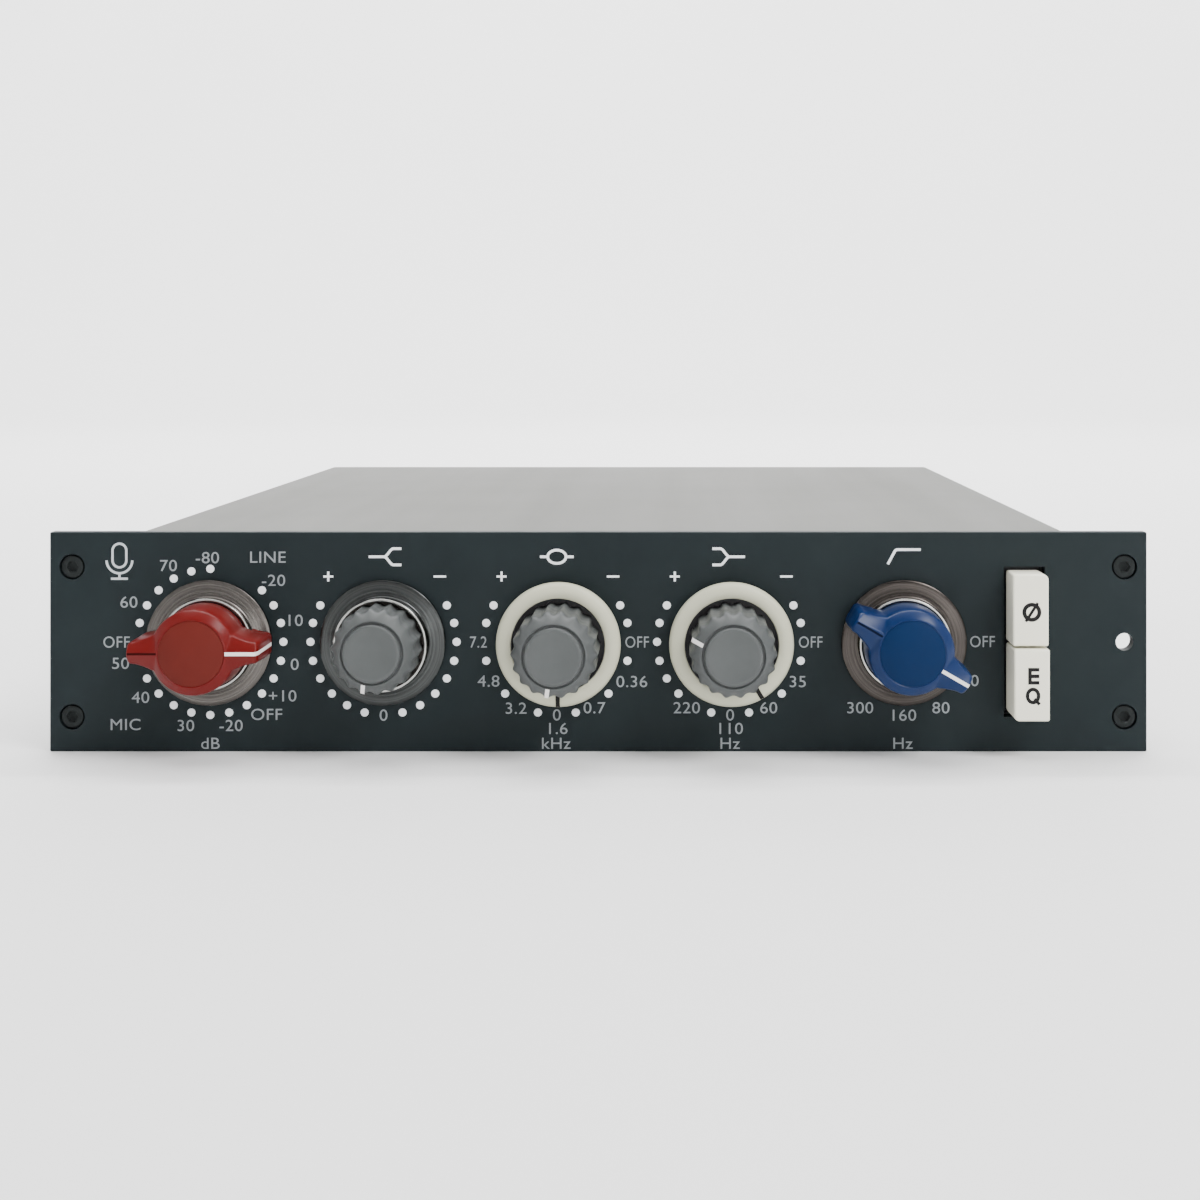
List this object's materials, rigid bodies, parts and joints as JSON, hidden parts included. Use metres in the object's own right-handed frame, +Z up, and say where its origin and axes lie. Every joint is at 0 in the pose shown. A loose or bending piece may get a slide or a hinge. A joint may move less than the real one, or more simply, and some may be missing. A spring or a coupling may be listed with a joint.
{
  "type": "microphone preamplifier module",
  "caption": "Slim rack microphone preamplifier and equaliser module with turning knobs, concentric rings and push buttons on a dark panel, a closed sheet metal case and a rear connector.",
  "frame": {"origin": "under the middle of the module's overall length, at the height of the panel's lower edge", "axes": "+X to the right of the front panel, +Y from the front to the rear, +Z up"},
  "size_m": [0.2222, 0.2732, 0.0444],
  "materials": {
    "panel_paint": "fine satin dark blue-grey paint with pale printing",
    "case_metal": "satin grey sheet",
    "frame_metal": "plated steel sheet",
    "black_steel": "black oxide",
    "black_aluminium": "black anodised",
    "plated_screw": "zinc plated",
    "knob_red": "dull red moulding, satin top and glossier sides",
    "knob_blue": "blue moulding, satin top and glossier sides",
    "knob_grey": "mid grey moulding",
    "skirt_metal": "turned and polished",
    "pale_ring": "pale stone grey satin",
    "ivory": "ivory moulding with black symbols",
    "shaft_steel": "turned",
    "circuit_board": "green solder mask",
    "transformer_can": "drawn can",
    "core_steel": "varnished laminations and ferrite",
    "black_plastic": "black moulding",
    "contact_brass": "plated spring contacts",
    "cap_sleeve": "shrink sleeve",
    "loom_sleeve": "sleeved bundle"
  },
  "bodies": {
    "chassis": {"front_panel": "panel_paint", "top_cover": "case_metal", "bottom_cover": "case_metal", "switch_frame": "frame_metal", "left_side_rail": "frame_metal", "right_side_rail": "frame_metal", "rear_panel": "frame_metal", "rear_connector": "black_plastic", "rear_connector_contacts": "contact_brass", "gain_switch": "frame_metal", "mid_switch": "frame_metal", "lf_switch": "frame_metal", "filter_switch": "frame_metal", "hf_pot": "black_plastic", "push_switch_bank": "black_plastic", "main_board": "circuit_board", "amplifier_card_1": "circuit_board", "amplifier_card_2": "circuit_board", "mic_transformer": "transformer_can", "line_transformer": "transformer_can", "output_transformer": "core_steel", "filter_inductor_1": "core_steel", "filter_inductor_2": "core_steel", "electrolytic_capacitor": "cap_sleeve", "heat_sink": "black_aluminium", "output_transistor": "transformer_can", "wiring_loom": "loom_sleeve", "panel_screw_1": "black_steel", "panel_screw_2": "black_steel", "panel_screw_3": "black_steel", "panel_screw_4": "black_steel", "cover_screw_1": "plated_screw", "cover_screw_2": "plated_screw", "cover_screw_3": "plated_screw", "cover_screw_4": "plated_screw", "cover_screw_5": "plated_screw", "cover_screw_6": "plated_screw", "cover_screw_7": "plated_screw", "cover_screw_8": "plated_screw"},
    "gain_knob": {"gain_knob_cap": "knob_red", "gain_knob_skirt": "skirt_metal", "gain_shaft": "shaft_steel"},
    "hf_knob": {"hf_knob_cap": "knob_grey", "hf_knob_skirt": "skirt_metal", "hf_shaft": "shaft_steel"},
    "mid_gain_knob": {"mid_gain_knob_cap": "knob_grey", "mid_gain_shaft": "shaft_steel"},
    "mid_frequency_knob": {"mid_frequency_ring": "pale_ring", "mid_frequency_tube": "shaft_steel"},
    "lf_gain_knob": {"lf_gain_knob_cap": "knob_grey", "lf_gain_shaft": "shaft_steel"},
    "lf_frequency_knob": {"lf_frequency_ring": "pale_ring", "lf_frequency_tube": "shaft_steel"},
    "filter_knob": {"filter_knob_cap": "knob_blue", "filter_knob_skirt": "skirt_metal", "filter_shaft": "shaft_steel"},
    "phase_button": {"phase_button_cap": "ivory", "phase_button_plunger": "black_plastic"},
    "eq_button": {"eq_button_cap": "ivory", "eq_button_plunger": "black_plastic"}
  },
  "joints": [
    {"name": "gain_turn", "type": "hinge", "parent": "chassis", "child": "gain_knob", "pos_m": [-0.0786, -0.1174, 0.02223], "axis": [0, 1, 0], "range_deg": [-45, 270]},
    {"name": "hf_turn", "type": "hinge", "parent": "chassis", "child": "hf_knob", "pos_m": [-0.0435, -0.1174, 0.02223], "axis": [0, 1, 0], "range_deg": [-150, 120]},
    {"name": "mid_gain_turn", "type": "hinge", "parent": "chassis", "child": "mid_gain_knob", "pos_m": [-0.0079, -0.1174, 0.02223], "axis": [0, 1, 0], "range_deg": [-145, 125]},
    {"name": "mid_frequency_turn", "type": "hinge", "parent": "chassis", "child": "mid_frequency_knob", "pos_m": [-0.0079, -0.1174, 0.02223], "axis": [0, 1, 0], "range_deg": [-90, 90]},
    {"name": "lf_gain_turn", "type": "hinge", "parent": "chassis", "child": "lf_gain_knob", "pos_m": [0.0269, -0.1174, 0.02223], "axis": [0, 1, 0], "range_deg": [-245, 25]},
    {"name": "lf_frequency_turn", "type": "hinge", "parent": "chassis", "child": "lf_frequency_knob", "pos_m": [0.0269, -0.1174, 0.02223], "axis": [0, 1, 0], "range_deg": [-60, 60]},
    {"name": "filter_turn", "type": "hinge", "parent": "chassis", "child": "filter_knob", "pos_m": [0.0618, -0.1174, 0.02223], "axis": [0, 1, 0], "range_deg": [-30, 90]},
    {"name": "phase_press", "type": "slide", "parent": "chassis", "child": "phase_button", "axis": [0, 1, 0], "range_m": [0, 0.003], "stiffness_N_per_m": 400, "springref_m": -0.003},
    {"name": "eq_press", "type": "slide", "parent": "chassis", "child": "eq_button", "axis": [0, 1, 0], "range_m": [0, 0.003], "stiffness_N_per_m": 400, "springref_m": -0.003}
  ]
}
